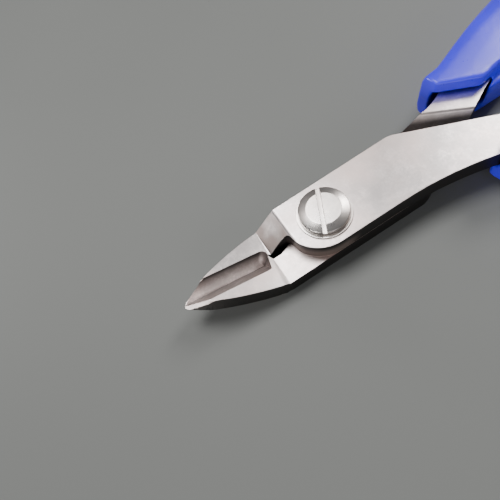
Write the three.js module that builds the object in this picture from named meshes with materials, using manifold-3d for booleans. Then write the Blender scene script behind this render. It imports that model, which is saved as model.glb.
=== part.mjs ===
// Flush cutter: two lap-jointed steel plates on a slotted pivot screw, with
// moulded sleeve grips and a pair of leaf springs that open the handles.
// Millimetres. X runs from the pivot towards the handles, Y across the tool,
// Z up the pivot axis. The origin is the pivot axis at the plane it rests on.
import * as THREE from 'three';
import { mergeVertices } from 'three/addons/utils/BufferGeometryUtils.js';
import Module from 'manifold-3d';

const wasm = await Module();
wasm.setup();

// ---- driving dimensions -------------------------------------------------
const plate = 3.2;              // thickness of each half
const lapGap = 0.04;            // running gap between the two laps
const waist = 5.1;              // half the width across the lap joint
const mating = plate;           // height of the face where the laps meet
const gripMid = plate * 1.5;    // height of the middle of arms and grips

const hingeX = -9.6;            // where both jaws turn up from the lap
const jawTilt = THREE.MathUtils.degToRad(17.1);
const jawLength = 14.7;         // along the jaw, from its fold to the tip
const seamAtFold = 0.67;        // Y of the line on which the cutting edges
const seamAtTip = 0.52;         // meet, at the fold and at the tip
const seamGap = 0.02;           // each edge stops this far from the line
const grindStart = 10.9;        // where the slanted grinding of a tip starts
const jawShy = 0.001;           // a jaw's faces lie this far inside its plate's
const throatUpper = 0.45;       // inner edge of the upper half at the throat
const throatLower = 0.3;        // the same for the lower half, other side
const foldTopX = -5.9;          // where the upper half starts down to its jaw

const shankR = 2.0;
const boreClearance = 0.05;
const headR = 3.75;
const headFlatR = 2.55;
const headEdge = 1.26;          // height of the head's rim above the plate
const headCrown = 0.36;         // rise of the broad chamfer inside the rim
const washerR = 4.15;
const washerThick = 0.25;
const slotWidth = 0.64;
const slotOffset = 0.4;         // the slot runs this far beside the axis
const slotDepth = 0.75;
const slotAngle = THREE.MathUtils.degToRad(64);

const bendX = 15.4;             // where an arm's inner edge leaves the waist
const bendRadius = 4;
const armAngle = THREE.MathUtils.degToRad(27.1);
const flareX = 10;              // where an arm's outer edge starts to flare
const flareRadius = 55;
const rampAngle = THREE.MathUtils.degToRad(33.1);
const rampTop = new THREE.Vector2(25.29, 2.8);
const rampRun = 1.8;            // length of the lower arm's step up, in plan

const pathStart = new THREE.Vector2(30, 5.55);
const pathAngle = THREE.MathUtils.degToRad(23.5);
const pathEnd = new THREE.Vector2(96, 15.5);
const pathEndAngle = THREE.MathUtils.degToRad(-8);
const tangHalf = 2.95;          // half width of the tang at its start
const tangEndHalf = 2.1;
const tangShare = 0.94;         // share of the path that the tang covers
const pocketGap = 0.25;

const gripNoseX = 25.2;         // front face of the finger guard
const gripCornerY = 6.7;        // where it meets the slanted end face
const gripFaceSlope = 0.587;
const gripTail = 7.2;           // grip beyond the end of the path
const gripHalfThick = 4.8;

const leafThick = 0.4;
const leafWide = 3.6;
const leafLength = 23.6;
const leafAngle = THREE.MathUtils.degToRad(12.1);
const leafBow = 0.7;
const eyeR = 1.0;
const pinR = 0.5;
const pinLength = 6.2;
const eyeAlong = 10;            // distance of the eye down the handle path
const eyeInset = 1.15;          // from the tang's inner edge to the eye

const UPPER = 1;                // the half under the screw head: jaw on +Y
const LOWER = -1;               // the half below it: jaw on -Y

// ---- helpers ------------------------------------------------------------
function solid(geometry) {
  const g = geometry.clone();
  g.deleteAttribute('normal');
  g.deleteAttribute('uv');
  const merged = mergeVertices(g, 1e-5);
  return new wasm.Manifold(new wasm.Mesh({
    numProp: 3,
    vertProperties: Float32Array.from(merged.attributes.position.array),
    triVerts: Uint32Array.from(merged.index.array),
  }));
}

function mesh(name, body, material) {
  const data = body.getMesh();
  const geometry = new THREE.BufferGeometry();
  geometry.setAttribute('position', new THREE.BufferAttribute(data.vertProperties, 3));
  geometry.setIndex(new THREE.BufferAttribute(data.triVerts, 1));
  geometry.computeVertexNormals();
  const m = new THREE.Mesh(geometry, material);
  m.name = name;
  return m;
}

// a plan shape made solid between two heights
function slab(shape, z0, z1, curveSegments = 14) {
  const g = new THREE.ExtrudeGeometry(shape, { depth: z1 - z0, bevelEnabled: false, curveSegments });
  return g.translate(0, 0, z0);
}

// a side shape, drawn in X and Z, made solid between two Y values
function sideSlab(shape, y0, y1) {
  const g = new THREE.ExtrudeGeometry(shape, { depth: y1 - y0, bevelEnabled: false, curveSegments: 6 });
  return g.rotateX(Math.PI / 2).translate(0, y1, 0);
}

// corners given as [x, y, radius], joined by straight lines
function roundedShape(corners) {
  const shape = new THREE.Shape();
  corners.forEach(([x, y, radius = 0], i) => {
    const here = new THREE.Vector2(x, y);
    const [bx, by] = corners[(i + corners.length - 1) % corners.length];
    const [nx, ny] = corners[(i + 1) % corners.length];
    const back = new THREE.Vector2(bx, by).sub(here).normalize();
    const on = new THREE.Vector2(nx, ny).sub(here).normalize();
    const half = Math.acos(THREE.MathUtils.clamp(back.dot(on), -1, 1)) / 2;
    const run = radius > 0 ? radius / Math.tan(half) : 0;
    const a = here.clone().addScaledVector(back, run);
    const b = here.clone().addScaledVector(on, run);
    if (i === 0) shape.moveTo(a.x, a.y);
    else shape.lineTo(a.x, a.y);
    if (run > 0) shape.quadraticCurveTo(x, y, b.x, b.y);
  });
  shape.closePath();
  return shape;
}

// rings with the same number of points, skinned and capped
function skin(rings) {
  const n = rings[0].length;
  const positions = rings.flat().flatMap((p) => [p.x, p.y, p.z]);
  const index = [];
  for (let r = 0; r + 1 < rings.length; r++) {
    for (let i = 0; i < n; i++) {
      const a = r * n + i;
      const b = r * n + (i + 1) % n;
      index.push(a, b, b + n, a, b + n, a + n);
    }
  }
  const last = (rings.length - 1) * n;
  for (let i = 1; i + 1 < n; i++) {
    index.push(0, i + 1, i);
    index.push(last, last + i, last + i + 1);
  }
  const g = new THREE.BufferGeometry();
  g.setAttribute('position', new THREE.Float32BufferAttribute(positions, 3));
  g.setIndex(index);
  return g;
}

function cylinder(radius, z0, z1, segments = 40) {
  const g = new THREE.CylinderGeometry(radius, radius, z1 - z0, segments);
  return g.rotateX(Math.PI / 2).translate(0, 0, (z0 + z1) / 2);
}

// ---- the handle path: a straight lead-in, then one curve ----------------
// Drawn for the arm on +Y. s is the distance along it from pathStart.
const pathCurve = new THREE.CubicBezierCurve(
  pathStart,
  new THREE.Vector2(Math.cos(pathAngle), Math.sin(pathAngle)).multiplyScalar(16).add(pathStart),
  new THREE.Vector2(Math.cos(pathEndAngle), Math.sin(pathEndAngle)).multiplyScalar(-24).add(pathEnd),
  pathEnd,
);
const pathLength = pathCurve.getLength();

function pathFrame(s) {
  const u = THREE.MathUtils.clamp(s / pathLength, 0, 1);
  const point = pathCurve.getPointAt(u);
  const along = pathCurve.getTangentAt(u);
  point.addScaledVector(along, s - u * pathLength);
  return { point, along, out: new THREE.Vector2(-along.y, along.x) };
}

// a point off the path, outwards positive, for the arm on the given side of Y
function offPath(s, offset, side) {
  const { point, out } = pathFrame(s);
  return new THREE.Vector2(point.x + out.x * offset, side * (point.y + out.y * offset));
}

function tangHalfWidth(s) {
  return THREE.MathUtils.lerp(tangHalf, tangEndHalf, THREE.MathUtils.clamp(s / pathLength, 0, 1));
}

// the rounded front of a half's lap, and its edge along the throat: the
// upper half's runs on as a curve, the lower half's in short straight steps
function nose(half, go, put, shape) {
  const steps = 16;
  const centreX = half === UPPER ? -0.4 : 0.7;
  const run = half === UPPER ? 5.6 : 5.1;
  const stopY = half === UPPER ? -0.28 : -0.3;
  const sweep = Math.acos(-stopY / waist);
  for (let i = 0; i <= steps; i++) {
    const a = sweep * (i / steps);
    go(put(centreX - run * Math.sin(a), -waist * Math.cos(a)));
  }
  if (half === UPPER) {
    shape.quadraticCurveTo(-6.05, 0.42, -6.6, 0.56);
    shape.quadraticCurveTo(-7.8, 0.78, hingeX, throatUpper);
    return;
  }
  go(put(-6.5, -0.3));
  go(put(-7.3, 0));
  go(put(-8.3, 0.35));
  go(put(-9.2, 0.35));
}

// ---- plan of one half, from the jaws' fold to the end of the tang -------
// Drawn for the upper half; the lower half is its mirror image in Y.
function halfPlan(half) {
  const side = -half;
  const put = (x, y) => new THREE.Vector2(x, half * y);
  const tangEnd = pathLength * tangShare;
  const shape = new THREE.Shape();
  const go = (v) => shape.lineTo(v.x, v.y);
  const run = bendRadius * Math.tan(armAngle / 2);
  const corner = put(bendX, waist);
  const afterBend = put(bendX + run * Math.cos(armAngle), waist - run * Math.sin(armAngle));
  shape.moveTo(hingeX, half * (half === UPPER ? throatUpper : throatLower));
  go(put(hingeX, waist));
  go(put(bendX - run, waist));
  shape.quadraticCurveTo(corner.x, corner.y, afterBend.x, afterBend.y);
  const steps = 18;
  for (let i = 0; i <= steps; i++) {
    const s = tangEnd * i / steps;
    go(offPath(s, -tangHalfWidth(s), side));
  }
  const tip = offPath(tangEnd + tangEndHalf, 0, side);
  go(offPath(tangEnd + tangEndHalf * 0.7, -tangEndHalf * 0.7, side));
  go(tip);
  go(offPath(tangEnd + tangEndHalf * 0.7, tangEndHalf * 0.7, side));
  for (let i = steps; i >= 0; i--) {
    const s = tangEnd * i / steps;
    go(offPath(s, tangHalfWidth(s), side));
  }
  if (half === LOWER) {
    const dip = put(22.6, -5.2);
    const front = put(21, -5.33);
    go(put(25.4, -6.32));
    shape.quadraticCurveTo(dip.x, dip.y, front.x, front.y);
    go(put(18.4, -5.62));
  }
  const flareSteps = 8;
  const flareEnd = half === UPPER ? pathStart.x - 3.4 : 17.2;
  for (let i = flareSteps; i >= 0; i--) {
    const x = THREE.MathUtils.lerp(flareX, flareEnd, i / flareSteps);
    go(put(x, -waist - (x - flareX) ** 2 / (2 * flareRadius)));
  }
  nose(half, go, put, shape);
  shape.closePath();
  return shape;
}

// ---- jaws ---------------------------------------------------------------
// A jaw is drawn flat, with its fold on x = 0 and its tip towards -x, then
// turned up about the fold.
function turnUp(geometry) {
  return geometry.rotateY(jawTilt).translate(hingeX, 0, mating);
}

// the line on which the cutting edges meet, x being measured from the fold
function seamAt(x) {
  return THREE.MathUtils.lerp(seamAtFold, seamAtTip, -x / jawLength);
}

function jawPlan(half) {
  const y = (value) => half * value;
  const seam = (x) => seamAt(x) + half * seamGap;
  const shape = new THREE.Shape();
  shape.moveTo(0, y(waist));
  if (half === UPPER) {
    shape.quadraticCurveTo(-5.4, 4.17, -grindStart, 1.9);
    shape.quadraticCurveTo(-12.9, 1.4, -jawLength, seam(-jawLength) + 0.12);
    shape.lineTo(-jawLength, seam(-jawLength));
  } else {
    shape.quadraticCurveTo(-5.4, -4.25, -grindStart, -2.28);
    shape.quadraticCurveTo(-12.6, -1.55, -jawLength - 0.15, -0.08);
    shape.lineTo(-jawLength, seam(-jawLength));
  }
  shape.lineTo(-0.5, seam(-0.5));
  shape.lineTo(-0.25, half === UPPER ? seam(-0.25) : 0);
  shape.lineTo(0, half === UPPER ? throatUpper : -throatLower);
  shape.closePath();
  return shape;
}

// the ground recess above the cutting edges: a pocket that is steep along
// its rim and flattens towards the edges, with rounded corners at its end
function recess() {
  const levels = 10;
  const cornerSteps = 7;
  const overTop = 1.2;
  const justAbove = 0.05;
  const edgeLand = 0.03;
  const inGap = 0.014;
  const rimHigh = 1.8;
  const rimLow = -1.73;
  const endX = -0.42;
  const endRun = 0.35;
  const endSkew = 0.6;
  const open = -jawLength - 5;
  const rings = [];
  for (let i = -1; i <= levels; i++) {
    const q = Math.max(i, 0) / levels;
    const z = i < 0 ? overTop : THREE.MathUtils.lerp(justAbove, edgeLand - plate, q);
    const hollow = Math.max(1 - q ** 1.7, 0) ** 0.8;
    const high = (x) => seamAt(x) + (rimHigh - seamAt(x)) * hollow + inGap;
    const low = (x) => seamAt(x) + (rimLow - seamAt(x)) * (1 - q) - inGap;
    const end = endX - endRun * q * q;
    const endLow = end - endSkew * (1 - q);
    const top = high(end);
    const bottom = low(end);
    const rLow = Math.min(0.4, (top - bottom) * 0.15);
    const rHigh = Math.min(1.0, (top - bottom) * 0.8);
    const ring = [];
    for (let k = 0; k <= cornerSteps; k++) {
      const a = Math.PI / 2 * (k / cornerSteps);
      ring.push(new THREE.Vector3(endLow - rLow + rLow * Math.sin(a), bottom + rLow - rLow * Math.cos(a), z));
    }
    for (let k = 0; k <= cornerSteps; k++) {
      const a = Math.PI / 2 * (k / cornerSteps);
      ring.push(new THREE.Vector3(end - rHigh + rHigh * Math.cos(a), top - rHigh + rHigh * Math.sin(a), z));
    }
    ring.push(new THREE.Vector3(open, high(open), z));
    ring.push(new THREE.Vector3(open, low(open), z));
    rings.push(ring.reverse());
  }
  return skin(rings);
}

// the slanted face ground on the outside of a tip, as a block to cut away
function tipGrind(half) {
  const block = 30;
  const face = half === UPPER
    ? { normal: [-0.67, 0.227, 0.708], through: [-grindStart - 0.1, 1.83, -0.2] }
    : { normal: [-0.69, -0.6, 0.4], through: [-grindStart, -2.28, 0] };
  const g = new THREE.BoxGeometry(block, block, block).translate(0, 0, block / 2);
  const normal = new THREE.Vector3(...face.normal).normalize();
  g.applyQuaternion(new THREE.Quaternion().setFromUnitVectors(new THREE.Vector3(0, 0, 1), normal));
  return g.translate(...face.through);
}

function jaw(half) {
  const blank = solid(turnUp(slab(jawPlan(half), jawShy - plate, -jawShy, 20)));
  const cut = solid(turnUp(recess())).add(solid(turnUp(tipGrind(half))));
  return blank.subtract(cut);
}

// fills the bend on the underside of the fold, where lap and jaw part
function foldFill(half) {
  const reach = 0.3;
  const skinDepth = 0.1;
  const c = Math.cos(jawTilt);
  const s = Math.sin(jawTilt);
  const jawPoint = (x, z) => [hingeX + x * c + z * s, mating - x * s + z * c];
  const lapRun = plate * Math.tan(jawTilt / 2);
  const shape = roundedShape([
    [hingeX + reach, mating - skinDepth],
    [hingeX, mating],
    jawPoint(-reach, -skinDepth),
    jawPoint(-reach, -plate),
    [hingeX - lapRun, 0],
    [hingeX + reach, 0],
  ]);
  const edges = half === UPPER ? [seamAt(0) + seamGap, waist - 0.06] : [-waist + 0.06, -throatLower];
  return solid(sideSlab(shape, ...edges));
}

// ---- the two halves -----------------------------------------------------
function upperHalf() {
  const top = mating + plate;
  const foldRise = plate / (foldTopX - hingeX);
  const underFold = foldTopX + plate * Math.tan(Math.atan(foldRise) / 2);
  const side = roundedShape([
    [hingeX, mating, 0],
    [foldTopX, top, 1.1],
    [120, top],
    [120, mating + lapGap],
    [underFold, mating + lapGap],
    [underFold - mating / foldRise, 0, 0.8],
    [hingeX, 0],
  ]);
  const body = solid(slab(halfPlan(UPPER), 0, top)).intersect(solid(sideSlab(side, -60, 60)));
  const bore = solid(cylinder(shankR + boreClearance, mating - 1, top + 1));
  const relief = new THREE.BoxGeometry(8, 12, 8);
  relief.translate(underFold - 0.2, throatUpper - 0.1 - 6, mating + lapGap - 4);
  return body.subtract(solid(relief)).add(foldFill(UPPER)).add(jaw(UPPER)).subtract(bore);
}

// the step that lifts the lower arm level with the upper one, as a side
// profile in distance from the top of the step
function rampSlab() {
  const shift = plate * Math.tan(Math.atan(plate / rampRun) / 2);
  const far = 90;
  const shape = roundedShape([
    [-far, 0],
    [shift - rampRun, 0, 0.8],
    [shift, mating, 0.8],
    [far, mating],
    [far, mating + plate],
    [0, mating + plate, 0.6],
    [-rampRun, mating, 0.4],
    [-far, mating],
  ]);
  const g = sideSlab(shape, -120, 120);
  return g.rotateZ(Math.PI / 2 - rampAngle).translate(rampTop.x, rampTop.y, 0);
}

function lowerHalf() {
  const body = solid(slab(halfPlan(LOWER), 0, mating + plate)).intersect(solid(rampSlab()));
  const bore = solid(cylinder(shankR + boreClearance / 2, -1, mating + 1));
  return body.add(foldFill(LOWER)).add(jaw(LOWER)).subtract(bore);
}

// ---- pivot --------------------------------------------------------------
function pivotScrew() {
  const under = mating + plate + washerThick + 0.02;
  const rim = mating + plate + headEdge;
  const tailEdge = 0.25;
  const profile = [
    [0, 0], [shankR - tailEdge, 0], [shankR, tailEdge], [shankR, under], [headR, under],
    [headR, rim - 0.08], [headR - 0.08, rim], [headFlatR, rim + headCrown], [0, rim + headCrown],
  ].map(([r, z]) => new THREE.Vector2(r, z));
  const turned = new THREE.LatheGeometry(profile, 56).rotateX(Math.PI / 2);
  const slot = new THREE.BoxGeometry(headR * 3, slotWidth, slotDepth * 2);
  slot.translate(0, slotOffset, 0).rotateZ(slotAngle).translate(0, 0, rim + headCrown);
  return solid(turned).subtract(solid(slot));
}

function pivotWasher() {
  const z = mating + plate + 0.01;
  const hole = solid(cylinder(shankR + 0.15, z - 1, z + 1));
  return solid(cylinder(washerR, z, z + washerThick, 56)).subtract(hole);
}

// ---- grips --------------------------------------------------------------
// how far the grip reaches outside and inside the path, half its height, and
// how square its section is: slim and square at the guard, then full and
// rounder, and slimmer again towards the tail
function gripSection(s) {
  const ease = THREE.MathUtils.smoothstep;
  const tail = ease(s, pathLength * 0.55, pathLength + gripTail);
  const outer = 4.7 + 1.1 * (1 - ease(s, -3.6, 0.6)) + 0.5 * ease(s, 2, 22) - 0.7 * tail;
  const inner = 3.0 + 2.2 * ease(s, -0.8, 5.4) - 0.5 * ease(s, 8, 26) - 0.4 * tail;
  const high = 4.0 + (gripHalfThick - 4.0) * ease(s, -3, 14) - 0.5 * tail;
  const squareness = 6.5 - 3.5 * ease(s, -1, 18);
  return { outer, inner, high, squareness };
}

function gripRing(s, shrink, side) {
  const points = 28;
  const { outer, inner, high, squareness } = gripSection(s);
  const power = 2 / squareness;
  const ring = [];
  for (let i = 0; i < points; i++) {
    const a = 2 * Math.PI * i / points;
    const c = Math.cos(a);
    const wide = Math.sign(c) * Math.abs(c) ** power;
    const tall = Math.sign(Math.sin(a)) * Math.abs(Math.sin(a)) ** power;
    const p = offPath(s, shrink * wide * (c > 0 ? outer : inner), side);
    ring.push(new THREE.Vector3(p.x, p.y, gripMid + shrink * tall * high));
  }
  return side < 0 ? ring.reverse() : ring;
}

function gripBlank(side) {
  const first = -8;
  const roundFrom = pathLength + 2.6;
  const roundRun = gripTail - 2.6;
  const rings = [];
  for (let i = 0; i <= 30; i++) rings.push(gripRing(THREE.MathUtils.lerp(first, roundFrom, i / 30), 1, side));
  for (let i = 1; i <= 5; i++) {
    const a = Math.PI / 2 * (i / 5.4);
    rings.push(gripRing(roundFrom + roundRun * Math.sin(a), Math.cos(a) ** 0.8, side));
  }
  return skin(rings);
}

// plan of what lies behind the guard's front face and the slanted end face
function gripKeep(side) {
  const far = 140;
  return roundedShape([
    [gripNoseX, side * 40],
    [gripNoseX, side * gripCornerY],
    [far, side * (gripCornerY - gripFaceSlope * (far - gripNoseX))],
    [far, side * 40],
  ]);
}

// the pocket that the tang fills, a little larger all round
function tangPocket(side) {
  const end = pathLength * tangShare + tangEndHalf + pocketGap;
  const shape = new THREE.Shape();
  const steps = 18;
  const first = -16;
  const at = (i) => THREE.MathUtils.lerp(first, end, i / steps);
  for (let i = 0; i <= steps; i++) {
    const p = offPath(at(i), -tangHalfWidth(at(i)) - pocketGap - (i < 4 ? 0.1 : 0), side);
    if (i === 0) shape.moveTo(p.x, p.y);
    else shape.lineTo(p.x, p.y);
  }
  for (let i = steps; i >= 0; i--) {
    const p = offPath(at(i), tangHalfWidth(at(i)) + pocketGap + (i < 4 ? 0.3 : 0), side);
    shape.lineTo(p.x, p.y);
  }
  shape.closePath();
  return slab(shape, mating - pocketGap, mating + plate + pocketGap);
}

function eyePoint(side) {
  return offPath(eyeAlong, -tangHalfWidth(eyeAlong) - eyeInset, side);
}

// the slot in a grip's inner wall, wide enough for the leaf's whole swing
function leafSlot(side) {
  const eye = eyePoint(side);
  const reach = 14;
  const tall = leafWide + 0.7;
  const ray = (degrees) => {
    const a = THREE.MathUtils.degToRad(degrees);
    return [eye.x + reach * Math.cos(a), eye.y - side * reach * Math.sin(a)];
  };
  const back = eyeR + 0.4;
  const fan = roundedShape([
    [eye.x - back, eye.y],
    [eye.x, eye.y + side * back],
    ray(2),
    ray(58),
    [eye.x - back * 0.6, eye.y - side * back * 0.8],
  ]);
  const round = cylinder(back, gripMid - tall / 2, gripMid + tall / 2, 20).translate(eye.x, eye.y, 0);
  const holes = cylinder(pinR + 0.06, gripMid - pinLength / 2 - 0.1, gripMid + pinLength / 2 + 0.1, 16);
  return solid(slab(fan, gripMid - tall / 2, gripMid + tall / 2))
    .add(solid(round)).add(solid(holes.translate(eye.x, eye.y, 0)));
}

// the shoulder along the inner flank, just behind the slanted end face:
// above the arm's top the flank stands back from the part below
function shoulderCut(side) {
  const line = [[29, 3], [34.4, 3.95], [38.5, 4.6], [43.5, 6.1], [47, 7.6]];
  const shape = roundedShape([
    ...line.map(([x, y], i) => [x, side * y, i > 0 && i < 4 ? 3 : 0]),
    [47, 0],
    [29, 0],
  ]);
  return slab(shape, mating + plate, mating + plate + 10);
}

function grip(side) {
  return solid(gripBlank(side))
    .intersect(solid(slab(gripKeep(side), -20, 30)))
    .subtract(solid(shoulderCut(side)))
    .subtract(solid(tangPocket(side)))
    .subtract(leafSlot(side));
}

// ---- leaf springs -------------------------------------------------------
// a thin strip with a rolled eye at its root and a small curl at its tip
function leafSpring(side) {
  const eye = eyePoint(side);
  const steps = 12;
  const centre = [];
  for (let i = 0; i <= steps; i++) {
    const u = i / steps;
    centre.push(new THREE.Vector2(u * leafLength, eyeR - leafThick / 2 - 4 * leafBow * u * (1 - u) - u * 0.8));
  }
  const curlR = 0.9;
  const last = centre[steps];
  for (let i = 1; i <= 6; i++) {
    const a = 1.9 * (i / 6);
    centre.push(new THREE.Vector2(last.x + curlR * Math.sin(a), last.y + curlR * (1 - Math.cos(a))));
  }
  const edge = (offset) => centre.map((p, i) => {
    const a = centre[Math.max(i - 1, 0)];
    const b = centre[Math.min(i + 1, centre.length - 1)];
    const along = b.clone().sub(a).normalize();
    return new THREE.Vector2(p.x - along.y * offset, p.y + along.x * offset);
  });
  const outline = [...edge(leafThick / 2), ...edge(-leafThick / 2).reverse()];
  const place = (p) => new THREE.Vector2(p.x, side * p.y);
  const strip = slab(new THREE.Shape(outline.map(place)), -leafWide / 2, leafWide / 2);
  const hole = solid(cylinder(pinR + 0.08, -leafWide, leafWide, 24));
  const eyeRing = solid(cylinder(eyeR, -leafWide / 2, leafWide / 2, 28));
  const flat = solid(strip).add(eyeRing).subtract(hole);
  const data = flat.getMesh();
  const g = new THREE.BufferGeometry();
  g.setAttribute('position', new THREE.BufferAttribute(data.vertProperties, 3));
  g.setIndex(new THREE.BufferAttribute(data.triVerts, 1));
  g.rotateZ(-side * leafAngle).translate(eye.x, eye.y, gripMid);
  return solid(g);
}

function springPin(side) {
  const eye = eyePoint(side);
  const edge = 0.12;
  const half = pinLength / 2;
  const profile = [
    [0, -half], [pinR - edge, -half], [pinR, edge - half], [pinR, half - edge], [pinR - edge, half], [0, half],
  ].map(([r, z]) => new THREE.Vector2(r, z));
  const g = new THREE.LatheGeometry(profile, 20).rotateX(Math.PI / 2);
  return solid(g.translate(eye.x, eye.y, gripMid));
}

// ---- assembly -----------------------------------------------------------
const steel = new THREE.MeshStandardMaterial({ color: 0xc9c3c0, roughness: 0.32, metalness: 1 });
const bright = new THREE.MeshStandardMaterial({ color: 0xdedad5, roughness: 0.18, metalness: 1 });
const springSteel = new THREE.MeshStandardMaterial({ color: 0x8d8f94, roughness: 0.3, metalness: 1 });
const blue = new THREE.MeshStandardMaterial({ color: 0x1b2fd6, roughness: 0.45, metalness: 0 });

const flushCutter = new THREE.Group();
flushCutter.add(
  mesh('upper_half', upperHalf(), steel),
  mesh('lower_half', lowerHalf(), steel),
  mesh('pivot_screw', pivotScrew(), bright),
  mesh('pivot_washer', pivotWasher(), bright),
);
for (const [name, side] of [['upper', -1], ['lower', 1]]) {
  flushCutter.add(
    mesh(`${name}_grip`, grip(side), blue),
    mesh(`${name}_spring`, leafSpring(side), springSteel),
    mesh(`${name}_spring_pin`, springPin(side), springSteel),
  );
}

export default flushCutter;
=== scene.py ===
# Flush cutter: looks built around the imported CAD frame. Metres, +Z up.
import math

import bmesh
import bpy
from mathutils import Matrix, Vector


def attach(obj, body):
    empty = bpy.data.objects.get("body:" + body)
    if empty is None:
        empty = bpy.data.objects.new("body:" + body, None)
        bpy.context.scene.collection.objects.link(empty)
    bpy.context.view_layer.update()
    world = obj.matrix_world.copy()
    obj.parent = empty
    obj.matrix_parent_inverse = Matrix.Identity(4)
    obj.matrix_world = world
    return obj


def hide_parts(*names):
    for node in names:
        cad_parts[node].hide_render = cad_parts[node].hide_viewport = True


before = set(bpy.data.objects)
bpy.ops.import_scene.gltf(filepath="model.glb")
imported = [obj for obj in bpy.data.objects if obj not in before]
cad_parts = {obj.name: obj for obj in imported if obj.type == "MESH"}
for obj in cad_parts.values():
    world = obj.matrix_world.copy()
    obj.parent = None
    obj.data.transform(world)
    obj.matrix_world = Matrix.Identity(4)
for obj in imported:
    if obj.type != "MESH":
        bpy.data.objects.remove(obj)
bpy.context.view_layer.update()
MM = 0.001
MATING_FACE = 3.2 * MM  # height of the face where the two laps meet
GRIP_MIDDLE = 4.8 * MM  # the moulds of the grips part at this height
PART_LINE_RISE = 0.07 * MM  # how far the mould line stands out
PART_LINE_REACH = 0.3 * MM  # how far it reaches up and down
SAME_FACE = math.radians(1.0)  # facets that turn less than this are joined
SHARP_TURN = math.radians(18)  # edges that turn more are shaded as edges
FLAT_WEIGHT = 60  # how much wide faces weigh in the smoothed normals
PLATE_BREAK = 0.07 * MM  # broken edges of the pressed plates
PLATE_BEND = 0.35 * MM  # rounding of their bends
PLATE_KEEN = 0.15 * MM  # edges that meet a shorter one than this stay keen
GRIP_VOXEL = 0.3 * MM
GRIP_RELAX = 9

# ---- node helpers -------------------------------------------------------


class Net:
    """A material's node tree, with short calls for the nodes used here."""

    def __init__(self, name):
        self.mat = bpy.data.materials.new(name)
        self.mat.use_nodes = True
        self.tree = self.mat.node_tree
        self.tree.nodes.clear()
        self.out = self.tree.nodes.new("ShaderNodeOutputMaterial")
        self.bsdf = self.tree.nodes.new("ShaderNodeBsdfPrincipled")
        self.tree.links.new(self.bsdf.outputs[0], self.out.inputs["Surface"])
        self.coord = self.tree.nodes.new("ShaderNodeTexCoord").outputs["Object"]

    def link(self, a, b):
        self.tree.links.new(a, b)

    def put(self, socket, value):
        if isinstance(value, bpy.types.NodeSocket):
            self.link(value, socket)
        else:
            socket.default_value = value

    def noise(self, scale, detail=2.0, rough=0.5, turn=0.0):
        m = self.tree.nodes.new("ShaderNodeMapping")
        self.link(self.coord, m.inputs["Vector"])
        m.inputs["Rotation"].default_value = (0, 0, turn)
        n = self.tree.nodes.new("ShaderNodeTexNoise")
        self.link(m.outputs[0], n.inputs["Vector"])
        n.inputs["Scale"].default_value = scale
        n.inputs["Detail"].default_value = detail
        n.inputs["Roughness"].default_value = rough
        return n.outputs["Fac"]

    def ramp(self, fac, low, high, to_low=0.0, to_high=1.0):
        n = self.tree.nodes.new("ShaderNodeMapRange")
        self.put(n.inputs["Value"], fac)
        n.inputs["From Min"].default_value = low
        n.inputs["From Max"].default_value = high
        n.inputs["To Min"].default_value = to_low
        n.inputs["To Max"].default_value = to_high
        return n.outputs["Result"]

    def math(self, op, a, b=0.0):
        n = self.tree.nodes.new("ShaderNodeMath")
        n.operation = op
        self.put(n.inputs[0], a)
        self.put(n.inputs[1], b)
        return n.outputs[0]

    def mix(self, fac, a, b):
        n = self.tree.nodes.new("ShaderNodeMix")
        n.data_type = "RGBA"
        self.put(n.inputs[0], fac)
        self.put(n.inputs[6], a)
        self.put(n.inputs[7], b)
        return n.outputs[2]

    def bump(self, height, strength, distance):
        n = self.tree.nodes.new("ShaderNodeBump")
        n.inputs["Strength"].default_value = strength
        n.inputs["Distance"].default_value = distance
        self.put(n.inputs["Height"], height)
        if self.bsdf.inputs["Normal"].links:
            self.link(self.bsdf.inputs["Normal"].links[0].from_socket, n.inputs["Normal"])
        self.link(n.outputs["Normal"], self.bsdf.inputs["Normal"])

    def upness(self):
        """How far the surface looks up or down in its piece's frame: 0 on a wall, 1 on a flat."""
        split = self.tree.nodes.new("ShaderNodeSeparateXYZ")
        source = self.tree.nodes.new("ShaderNodeTexCoord").outputs["Normal"]
        self.link(source, split.inputs[0])
        return self.math("ABSOLUTE", split.outputs[2])

    def painted_lap_reflection(self):
        """1 on the lower part of the lap's round end, in front of the joint's axis, 0 elsewhere:
        where the walls get a brownish painted reflection of the lower plate.
        """
        flat = self.tree.nodes.new("ShaderNodeVectorMath")
        flat.operation = "MULTIPLY"
        self.link(self.coord, flat.inputs[0])
        flat.inputs[1].default_value = (1, 1, 0)
        reach = self.tree.nodes.new("ShaderNodeVectorMath")
        reach.operation = "LENGTH"
        self.link(flat.outputs[0], reach.inputs[0])
        split = self.tree.nodes.new("ShaderNodeSeparateXYZ")
        self.link(self.coord, split.inputs[0])
        round_end = self.ramp(reach.outputs["Value"], 5.3 * MM, 6.6 * MM, 1.0, 0.0)
        front = self.ramp(split.outputs[0], 3.0 * MM, 0.5 * MM)
        height = self.math(
            "MULTIPLY",
            self.ramp(split.outputs[2], MATING_FACE, MATING_FACE + 0.2 * MM),
            self.ramp(split.outputs[2], 5.8 * MM, 4.6 * MM),
        )
        return self.math("MULTIPLY", self.math("MULTIPLY", round_end, front), height)


def shade(tone, *share):
    """The tone times one share, or times one share each for red, green and blue."""
    if len(share) == 1:
        share = share * 3
    return tuple(c * k for c, k in zip(tone, share)) + (1,)


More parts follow.
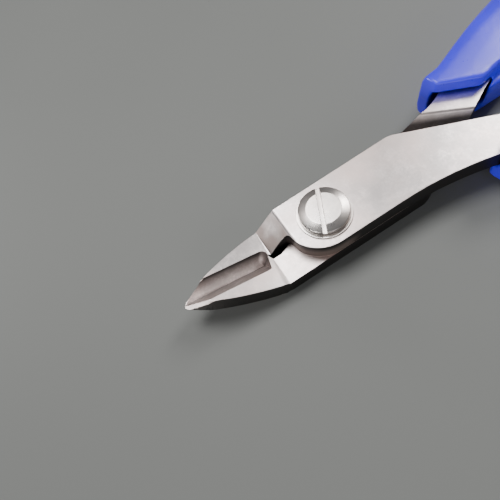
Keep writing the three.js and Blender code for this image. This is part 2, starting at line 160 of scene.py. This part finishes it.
def steel(name, tone, rough, grain, wall=1.0, slope=0.0):
    """Satin stainless: a fine cloudy blast texture and soft warm smudges.

    wall is the share of the tone that is left on the blanked walls: painted shade, a dark
    painted reflection of the floor that these upright walls face, with a brownish painted
    reflection of the lower plate on the lower part of the lap's round end. slope is how
    much rougher the bent and hollow-ground surfaces are than the flats, and with it the
    steep slope to a jaw gets brownish blotches of painted reflection.
    """
    net = Net(name)
    fine = net.noise(2600, 2.0, rough=0.5)
    speck = net.noise(1000, 3.0, rough=0.75)
    cloud = net.noise(330, 3.0, rough=0.6)
    smudge = net.noise(90, 2.0, turn=0.7)
    base = net.mix(net.ramp(cloud, 0.36, 0.62), shade(tone, 0.72), tone)
    base = net.mix(net.ramp(speck, 0.42, 0.62, 0.0, 0.8), base, shade(tone, 0.66))
    base = net.mix(net.ramp(fine, 0.42, 0.62, 0.0, 0.5), base, shade(tone, 0.68))
    base = net.mix(net.ramp(smudge, 0.40, 0.65, 0.0, 0.75), base, shade(tone, 0.94, 0.84, 0.80))
    satin = net.ramp(fine, 0.3, 0.7, rough - 0.01, rough + 0.02)
    r = net.math("ADD", satin, net.ramp(smudge, 0.4, 0.7, -0.03, 0.04))
    up = net.upness()
    # a brownish tone for the painted reflections on the lap's round end and on the slope to a jaw
    reflection_brown = shade(tone, 0.42, 0.36, 0.33)
    # painted shade: upright walls are darkened to wall times the tone, standing in for the dark
    # floor they reflect
    if wall < 1.0:
        painted_wall_shade = net.mix(net.painted_lap_reflection(), shade(tone, wall), reflection_brown)
        base = net.mix(net.ramp(up, 0.08, 0.54), painted_wall_shade, base)
    if slope > 0.0:
        r = net.math("ADD", r, net.ramp(up, 0.70, 0.94, slope, 0.0))
        # painted reflection: brownish blotches on the steep slope to a jaw, standing in for the
        # dark reflections it shows
        bent = net.math("MULTIPLY", net.ramp(up, 0.82, 0.77), net.ramp(up, 0.60, 0.72))
        painted_reflection_patches = net.ramp(net.noise(260, 1.0, turn=0.4), 0.42, 0.60, 0.15, 0.8)
        base = net.mix(net.math("MULTIPLY", bent, painted_reflection_patches), base, reflection_brown)
    net.put(net.bsdf.inputs["Base Color"], base)
    net.bsdf.inputs["Metallic"].default_value = 1.0
    net.put(net.bsdf.inputs["Roughness"], r)
    net.bump(fine, grain, 0.000004)
    net.bump(cloud, grain, 0.00002)
    return net


def plastic(name, colour, rough):
    """Moulded vinyl: slightly mottled, with a fine leathery skin and a soft top coat."""
    net = Net(name)
    skin = net.noise(1500, 3.0, rough=0.6)
    broad = net.noise(90, 2.0)
    mottle = net.mix(net.ramp(broad, 0.35, 0.65), shade(colour, 0.85), colour)
    net.put(net.bsdf.inputs["Base Color"], mottle)
    net.put(net.bsdf.inputs["Roughness"], net.ramp(skin, 0.3, 0.7, rough - 0.05, rough + 0.08))
    net.bsdf.inputs["IOR"].default_value = 1.5
    net.bsdf.inputs["Subsurface Weight"].default_value = 0.08
    net.bsdf.inputs["Subsurface Radius"].default_value = (0.0006, 0.0009, 0.003)
    net.bsdf.inputs["Coat Weight"].default_value = 0.25
    net.bsdf.inputs["Coat Roughness"].default_value = 0.28
    net.bump(skin, 0.25, 0.00004)
    net.bump(broad, 0.15, 0.0002)
    return net


# wall=0.06 paints dark shade on the plates' upright walls; slope also brings blotches of painted
# reflection
plate_steel = steel("plate_steel", (0.80, 0.73, 0.71, 1), 0.36, 0.35, wall=0.06, slope=0.12)
bright_steel = steel("bright_steel", (0.90, 0.85, 0.81, 1), 0.30, 0.15)
dark_steel = steel("dark_steel", (0.50, 0.50, 0.51, 1), 0.30, 0.2)
blue_vinyl = plastic("blue_vinyl", (0.05, 0.03, 0.93, 1), 0.32)

# ---- finer copies of the CAD nodes --------------------------------------


def copy_mesh(node, name):
    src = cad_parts[node]
    o = bpy.data.objects.new(name, src.data.copy())
    bpy.context.scene.collection.objects.link(o)
    o.data.materials.clear()
    return o


def merged(o, distance):
    """The piece's mesh with its flat facets joined into faces, to edit."""
    bm = bmesh.new()
    bm.from_mesh(o.data)
    bmesh.ops.remove_doubles(bm, verts=bm.verts, dist=distance)
    bmesh.ops.dissolve_limit(bm, angle_limit=SAME_FACE, verts=bm.verts, edges=bm.edges)
    return bm


def soften(o, width, angle=25.0, segments=3):
    """Rounds the edges that turn more than the angle."""
    bm = merged(o, 0.002 * MM)
    bm.to_mesh(o.data)
    bm.free()
    mod = o.modifiers.new("edge", "BEVEL")
    mod.limit_method = "ANGLE"
    mod.angle_limit = math.radians(angle)
    mod.width = width
    mod.segments = segments
    mod.use_clamp_overlap = True
    mod.miter_outer = "MITER_ARC"
    for p in o.data.polygons:
        p.use_smooth = True
    even = o.modifiers.new("normals", "WEIGHTED_NORMAL")
    even.weight = FLAT_WEIGHT
    apply_modifiers(o)


def apply_modifiers(o):
    deps = bpy.context.evaluated_depsgraph_get()
    mesh = bpy.data.meshes.new_from_object(o.evaluated_get(deps))
    o.modifiers.clear()
    o.data = mesh


def reskin(o, voxel, passes):
    """Remakes a moulded piece as one even skin and relaxes it, which rounds every edge."""
    mod = o.modifiers.new("skin", "REMESH")
    mod.mode = "VOXEL"
    mod.voxel_size = voxel
    mod.use_smooth_shade = True
    relax = o.modifiers.new("relax", "SMOOTH")
    relax.factor = 0.5
    relax.iterations = passes
    apply_modifiers(o)


def pressed(o, edge, bend, small):
    """A pressed plate: broken edges, rounded bends and keen edges where they are ground.

    A bend runs across the tool and turns less than 60 degrees. Corners of the outline, and
    edges that meet one shorter than small, are left keen, so no two bevels cross.
    """
    bm = merged(o, 0.003 * MM)
    weight = bm.edges.layers.float.new("bevel_weight_edge")
    for e in bm.edges:
        if len(e.link_faces) != 2:
            continue
        turn = math.degrees(e.calc_face_angle())
        run = e.verts[1].co - e.verts[0].co
        shortest = min(x.calc_length() for v in e.verts for x in v.link_edges)
        across = abs(run.y) > 0.9 * run.length and run.length > 1.5 * MM
        upright = abs(run.z) >= 0.7 * run.length
        if across and 12 < turn < 60 and shortest > bend:
            e[weight] = 1.0
        elif not upright and 30 < turn < 110 and shortest > small:
            e[weight] = edge / bend
    bm.to_mesh(o.data)
    bm.free()
    mod = o.modifiers.new("edge", "BEVEL")
    mod.limit_method = "WEIGHT"
    mod.width = bend
    mod.segments = 4
    mod.use_clamp_overlap = False
    apply_modifiers(o)
    for p in o.data.polygons:
        p.use_smooth = True
    o.data.set_sharp_from_angle(angle=SHARP_TURN)
    even = o.modifiers.new("normals", "WEIGHTED_NORMAL")
    even.weight = FLAT_WEIGHT
    even.keep_sharp = True
    apply_modifiers(o)


def part_line(o):
    """Raises the faint line that the two halves of a mould leave round a grip."""
    outward = [v.normal.copy() for v in o.data.vertices]
    for v, out in zip(o.data.vertices, outward):
        near = 1.0 - abs(v.co.z - GRIP_MIDDLE) / PART_LINE_REACH
        if near > 0:
            v.co += out * (PART_LINE_RISE * near)


def piece(node, name, material, body):
    """A finer copy of a CAD node that stands in for it."""
    o = copy_mesh(node, name)
    o.data.materials.append(material.mat)
    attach(o, body)
    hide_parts(node)
    return o


for half, body in (("upper", "upper_body"), ("lower", "lower_body")):
    plate = piece(half + "_half", half + "_half_finished", plate_steel, body)
    pressed(plate, PLATE_BREAK, PLATE_BEND, PLATE_KEEN)
    grip = piece(half + "_grip", half + "_grip_finished", blue_vinyl, body)
    reskin(grip, GRIP_VOXEL, GRIP_RELAX)
    part_line(grip)
    spring, pin = half + "_spring", half + "_spring_pin"
    leaf = piece(spring, spring + "_finished", dark_steel, half + "_leaf")
    soften(leaf, 0.06 * MM)
    soften(piece(pin, half + "_pin_finished", bright_steel, body), 0.05 * MM)
for node, width, angle in (("pivot_screw", 0.07 * MM, 12), ("pivot_washer", 0.05 * MM, 25)):
    soften(piece(node, node + "_finished", bright_steel, "lower_body"), width, angle)

# ---- floor, light and camera --------------------------------------------


def floor():
    bpy.ops.mesh.primitive_plane_add(size=3.0, location=(0.03, 0, -0.0002))
    o = bpy.context.object
    o.name = "floor"
    net = Net("pale_floor")
    cloud = net.noise(6, 3.0)
    tone = net.mix(net.ramp(cloud, 0.3, 0.7), (0.165, 0.169, 0.160, 1), (0.186, 0.190, 0.180, 1))
    net.put(net.bsdf.inputs["Base Color"], tone)
    net.put(net.bsdf.inputs["Roughness"], net.ramp(cloud, 0.3, 0.7, 0.6, 0.75))
    o.data.materials.append(net.mat)


def area(name, place, aim, size, power):
    """A soft rectangular light at place that faces aim."""
    light = bpy.data.lights.new(name, "AREA")
    light.shape = "RECTANGLE"
    light.size = size[0]
    light.size_y = size[1]
    light.energy = power
    o = bpy.data.objects.new(name, light)
    bpy.context.scene.collection.objects.link(o)
    o.location = place
    o.rotation_euler = (Vector(aim) - Vector(place)).to_track_quat("-Z", "Y").to_euler()


def camera():
    """The view from above and in front of the jaws, close enough to show strong perspective."""
    cam = bpy.data.cameras.new("camera")
    cam.sensor_width = 36
    cam.lens = 27.36
    cam.clip_start = 0.001
    o = bpy.data.objects.new("camera", cam)
    bpy.context.scene.collection.objects.link(o)
    right = Vector((0.83943, -0.49885, -0.21564))
    back = Vector((-0.03202, -0.44150, 0.89669)).normalized()
    up = back.cross(right).normalized()
    right = up.cross(back)
    turn = Matrix((right, up, back)).transposed()
    o.matrix_world = Matrix.Translation(Vector((-13.756, -23.092, 56.386)) * MM) @ turn.to_4x4()
    bpy.context.scene.camera = o


floor()
area("overhead", (-0.01, 0.13, 0.33), (0, 0, 0), (0.18, 0.15), 0.97)
area("right", (0.33, 0.11, 0.29), (0.03, 0, 0), (0.12, 0.16), 1.05)
area("front_low", (-0.10, -0.38, 0.16), (0, 0, 0), (0.30, 0.20), 0.45)
area("left_low", (-0.36, -0.13, 0.03), (-0.02, 0, 0), (0.16, 0.05), 0.8)
area("back_left", (-0.27, 0.26, 0.06), (-0.02, 0, 0), (0.10, 0.06), 0.5)
world = bpy.data.worlds.new("studio")
world.use_nodes = True
world.node_tree.nodes["Background"].inputs[0].default_value = (0.85, 0.88, 0.93, 1)
world.node_tree.nodes["Background"].inputs[1].default_value = 0.14
bpy.context.scene.world = world
camera()
